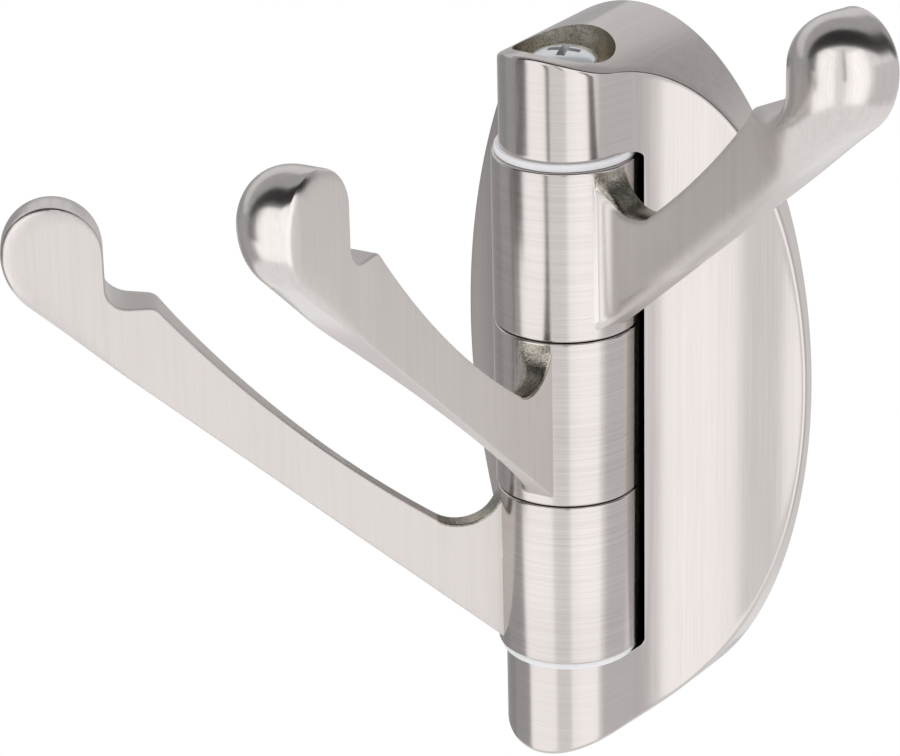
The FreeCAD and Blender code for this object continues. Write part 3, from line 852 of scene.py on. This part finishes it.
def buildScrew():
    radius, seat, edge = screw["headRadius"], screw["seat"], screw["headEdge"]
    shank, end, chamfer = screw["shankRadius"], screw["end"], screw["endChamfer"]
    crown, steps = screw["crown"], screw["crownSteps"]
    wallTop = seat + screw["headHeight"] - crown
    profile = [(0, end), (shank - chamfer, end), (shank, end + chamfer), (shank, seat),
               (radius - edge, seat), (radius, seat + edge)]
    profile += [(radius * math.cos(t), wallTop + crown * math.sin(t))
                for t in (math.pi / 2 * k / steps for k in range(steps + 1))]
    obj = turned("pivot_screw_body", profile, screw["segments"], Matrix.Translation((0, pivotY, 0)))
    top = seat + screw["headHeight"] + 0.5  # the cutter stands out of the head
    low = seat + screw["headHeight"] - screw["recessDepth"]
    half, wide = screw["recessLength"] / 2, screw["recessWidth"] / 2
    for turn in screw["recessTurns"]:
        place = Matrix.Translation((0, pivotY, 0)) @ Matrix.Rotation(math.radians(turn), 4, "Z")
        corners = [(sx * half * share, sy * wide, z)
                   for z, share in ((low, screw["recessFloorShare"]), (top, screw["recessTopShare"]))
                   for sx, sy in ((-1, -1), (1, -1), (1, 1), (-1, 1))]
        faces = [(0, 1, 2, 3), (4, 5, 6, 7), (0, 1, 5, 4), (1, 2, 6, 5), (2, 3, 7, 6), (3, 0, 4, 7)]
        cutter = meshObject("recessCutter", [place @ Vector(c) for c in corners], faces)
        closeMesh(cutter)
        combine(obj, cutter, "DIFFERENCE")
    closeMesh(obj)
    smoothFaces(obj)
    sideSlack, floorSlack, domeSlack = 0.2, 0.05, 0.04

    def choose(centre, normal):
        fromAxis = math.hypot(centre.x, centre.y - pivotY)
        dome = wallTop + crown * math.sqrt(max(1 - (fromAxis / radius) ** 2, 0))
        inside = fromAxis < half + sideSlack and low - floorSlack < centre.z < dome - domeSlack
        return 1 if inside else 0

    tagFaces(obj, (screwZinc, recessShadeZinc), choose)
    return obj


screwBody = buildScrew()
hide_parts("pivot_screw")
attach(screwBody, "wall_bracket")
print("screw made")


view = {
    "azimuth": 35.25507, "elevation": 23.79374, "roll": -1.35691, "distance": 450.0,
    "target": (0.0, -15.979, 0.0), "aside": -13.90967, "above": 2.20781, "lens": 152.016, "sensor": 36,
    "clipStart": 0.01, "clipEnd": 20,
}
studio = {
    "floorLevel": -420.0, "floorHalf": 4000.0, "floorColour": (0.9, 0.9, 0.9, 1), "floorRoughness": 0.8,
    "cardRadius": 650.0, "cardColumns": 24, "cardRows": 16,
    # azimuth from the wall's normal towards the right, then elevation, then brightness
    "cards": (
        ("cardFarLeft", -165, -125, -62, 24, 0.5),
        ("cardLeft", -125, -86, -62, 20, 0.37),
        ("cardLeftNear", -86, -54, -62, 20, 0.46),
        ("cardLeftEdge", -54, -45, -62, -19.5, 0.46),
        ("cardLeftHigh", -54, -36, -19.5, 26, 0.2),
        ("cardFrontLeft", -43, 9, -62, -19.5, 1.4),
        ("cardFrontHigh", -32, 9, -19.5, 48, 1.4),
        ("cardFront", 36, 50, -62, 48, 1.4),
        ("cardFrontRight", 50, 86, -62, 48, 1.46),
        ("cardRight", 94, 138, -62, 12, 0.74),
        ("cardFarRight", 138, 205, -62, 12, 0.92),
        ("cardCamera", 29, 36, -6, 52, 0.25),
    ),
    # tilt up from the camera's side over the top, then sideways, then brightness
    "covers": (
        ("coverTop", 60, 98, -80, 80, 0.03),
        ("coverBack", 98, 134, -75, 75, 0.46),
        ("coverBackLow", 134, 166, -75, 75, 0.8),
    ),
}


def glowMaterial(name, brightness):
    material = bpy.data.materials.new(name)
    material.use_nodes = True
    tree = material.node_tree
    tree.nodes.clear()
    glow, out = tree.nodes.new("ShaderNodeEmission"), tree.nodes.new("ShaderNodeOutputMaterial")
    glow.inputs["Color"].default_value = (1, 1, 1, 1)
    glow.inputs["Strength"].default_value = brightness
    tree.links.new(glow.outputs[0], out.inputs[0])
    return material


def lowDirection(azimuth, elevation):
    az, el = math.radians(azimuth), math.radians(elevation)
    return Vector((math.sin(az) * math.cos(el), -math.cos(az) * math.cos(el), math.sin(el)))


def highDirection(tilt, aside):
    t, a, turn = math.radians(tilt), math.radians(aside), math.radians(view["azimuth"])
    front = Vector((math.sin(turn), -math.cos(turn), 0))
    side = Vector((math.cos(turn), math.sin(turn), 0))
    return (front * math.cos(t) + Vector((0, 0, 1)) * math.sin(t)) * math.cos(a) + side * math.sin(a)


def buildCard(direction, name, a0, a1, b0, b1, brightness):
    # only reflections see a card, and it throws no shadow
    wide, tall, middle = studio["cardColumns"], studio["cardRows"], Vector((0, pivotY, 0))
    verts = []
    for i in range(wide + 1):
        for k in range(tall + 1):
            way = direction(a0 + (a1 - a0) * i / wide, b0 + (b1 - b0) * k / tall)
            verts.append(middle + way * studio["cardRadius"])
    faces = [(a, a + 1, a + tall + 2, a + tall + 1) for i in range(wide)
             for a in range(i * (tall + 1), i * (tall + 1) + tall)]
    card = meshObject(name, verts, faces)
    card.data.materials.append(glowMaterial(name, brightness))
    card.visible_camera = False
    card.visible_diffuse = False
    card.visible_shadow = False


for card in studio["cards"]:
    buildCard(lowDirection, *card)
for cover in studio["covers"]:
    buildCard(highDirection, *cover)

half, level = studio["floorHalf"], studio["floorLevel"]
floorCorners = [(-half, -half, level), (half, -half, level), (half, half, level), (-half, half, level)]
floor = meshObject("floor", floorCorners, [(0, 1, 2, 3)])
floorFinish = Finish("floor_white")
floorFinish.feed(Base_Color=studio["floorColour"], Roughness=studio["floorRoughness"])
floor.data.materials.append(floorFinish.material)
# plain white to the camera and in reflections
seen = floorFinish.node("ShaderNodeLightPath", {}, {}, "Is Camera Ray")
mirrored = Shade(seen.tree, seen.socket.node.outputs["Is Glossy Ray"])
through = Shade(seen.tree, seen.socket.node.outputs["Is Transmission Ray"])
white = floorFinish.node("ShaderNodeEmission", {}, {"Color": (1, 1, 1, 1), "Strength": 1.0})
mixed = floorFinish.node("ShaderNodeMixShader", {}, {
    0: seen + mirrored + through, 1: Shade(seen.tree, floorFinish.surface.outputs[0]), 2: white})
seen.tree.links.new(mixed.socket, floorFinish.tree.nodes["Material Output"].inputs[0])

world = bpy.data.worlds.new("studio")
world.use_nodes = True
sky = world.node_tree.nodes["Background"]
sky.inputs["Color"].default_value = (1, 1, 1, 1)
sky.inputs["Strength"].default_value = 1.0
bpy.context.scene.world = world
bpy.context.scene.view_settings.view_transform = "Standard"
print("studio made")

# the camera stands as in the photograph
az, roll = math.radians(view["azimuth"]), math.radians(view["roll"])
back = lowDirection(view["azimuth"], view["elevation"])
flat = Vector((math.cos(az), math.sin(az), 0))
rise = back.cross(flat)
sideways = flat * math.cos(roll) + rise * math.sin(roll)
upward = rise * math.cos(roll) - flat * math.sin(roll)
eye = Vector(view["target"]) + back * view["distance"]
eye += sideways * view["aside"] + upward * view["above"]
lens = bpy.data.cameras.new("camera")
lens.lens, lens.sensor_width = view["lens"], view["sensor"]
lens.clip_start, lens.clip_end = view["clipStart"], view["clipEnd"]
camera = bpy.data.objects.new("camera", lens)
bpy.context.scene.collection.objects.link(camera)
facing = Matrix((sideways, upward, back)).transposed().to_4x4()
camera.matrix_world = Matrix.Translation(eye * mm) @ facing
bpy.context.scene.camera = camera
print("camera set")
